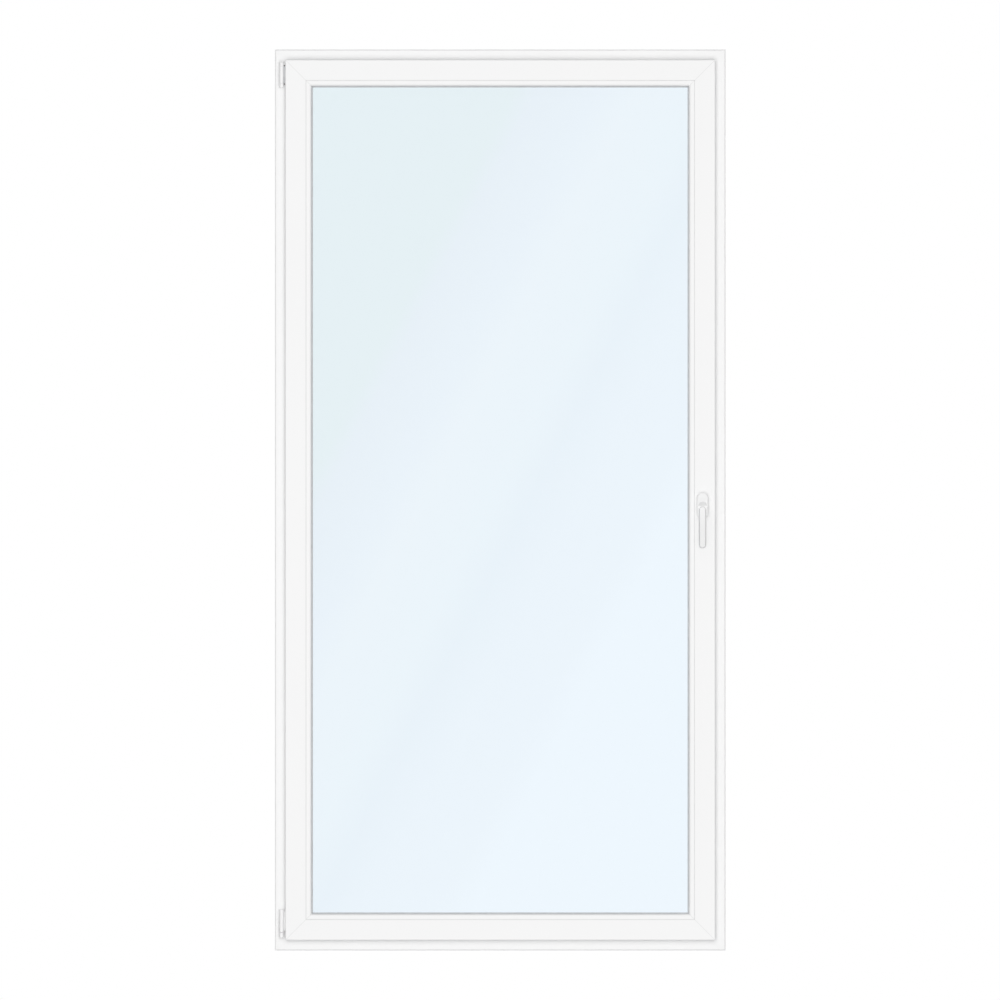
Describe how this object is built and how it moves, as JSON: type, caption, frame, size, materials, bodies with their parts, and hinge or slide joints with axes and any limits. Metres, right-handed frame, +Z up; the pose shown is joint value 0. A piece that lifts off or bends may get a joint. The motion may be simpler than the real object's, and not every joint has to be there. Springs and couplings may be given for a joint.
{
  "type": "french window",
  "caption": "White single-leaf french window with a double-glazed tilting and turning leaf, beaded glass, corner hinges and a lever handle.",
  "frame": {"origin": "middle of the flat underside of the frame's sill, halfway through the frame's depth", "axes": "+X from the hinge side to the lock side, +Y from the room to the outside, +Z up"},
  "size_m": [1.2, 0.1503, 2.4],
  "materials": {
    "white_profile": "smooth white plastic profile with a soft gloss",
    "white_fitting": "white powder coat",
    "grey_seal": "light grey sealing rubber",
    "clear_glass": "clear float glass with a faint blue cast",
    "bright_steel": "bright zinc-plated steel",
    "spacer_metal": "mill aluminium spacer bar",
    "black_seal": "black edge sealant"
  },
  "bodies": {
    "frame": {"frame_sill": "white_profile", "frame_upright_lock_side": "white_profile", "frame_head": "white_profile", "frame_upright_hinge_side": "white_profile", "frame_stop_gasket": "grey_seal", "drain_caps": "white_fitting", "lock_keeps": "bright_steel", "upper_hinge_bearing": "white_fitting", "upper_hinge_pin": "bright_steel", "lower_hinge_bracket": "white_fitting"},
    "pivot": {"lower_hinge_pivot_pin": "bright_steel"},
    "leaf": {"leaf_bottom_rail": "white_profile", "leaf_lock_stile": "white_profile", "leaf_top_rail": "white_profile", "leaf_hinge_stile": "white_profile", "glazing_bead_bottom": "white_profile", "glazing_bead_lock": "white_profile", "glazing_bead_top": "white_profile", "glazing_bead_hinge": "white_profile", "pane_room_side": "clear_glass", "pane_outside": "clear_glass", "glass_spacer": "spacer_metal", "glass_edge_seal": "black_seal", "glazing_seal_room_side": "grey_seal", "glazing_seal_outside": "grey_seal", "leaf_lip_gasket": "grey_seal", "lower_hinge_knuckle": "white_fitting", "handle_rosette": "white_fitting", "lock_faceplate": "bright_steel", "stay_guide_plate": "bright_steel"},
    "stay": {"stay_arm": "bright_steel", "upper_hinge_knuckle_cover": "white_fitting"},
    "lock_bar": {"locking_bar": "bright_steel", "locking_cams": "bright_steel"},
    "lever": {"handle_lever": "white_fitting"}
  },
  "joints": [
    {"name": "leaf_swing", "type": "hinge", "parent": "frame", "child": "pivot", "pos_m": [-0.583, -0.0435, 0.036], "axis": [0, 0, -1], "range_deg": [0, 90]},
    {"name": "leaf_tilt", "type": "hinge", "parent": "pivot", "child": "leaf", "pos_m": [-0.583, -0.0435, 0.036], "axis": [1, 0, 0], "range_deg": [0, 3.7]},
    {"name": "stay_turn", "type": "hinge", "parent": "pivot", "child": "stay", "pos_m": [-0.583, -0.0435, 0.036], "axis": [0, 0, -1], "range_deg": [0, 20.8]},
    {"name": "handle_turn", "type": "hinge", "parent": "leaf", "child": "lever", "pos_m": [0.539, -0.066, 1.184], "axis": [0, 1, 0], "range_deg": [0, 180]},
    {"name": "bar_slide", "type": "slide", "parent": "leaf", "child": "lock_bar", "axis": [0, 0, 1], "range_m": [0, 0.0361]}
  ],
  "couplings": [
    {"joint": "stay_turn", "follows": "leaf_tilt", "ratio": 5.595},
    {"joint": "bar_slide", "follows": "handle_turn", "m_per_rad": 0.011459}
  ]
}
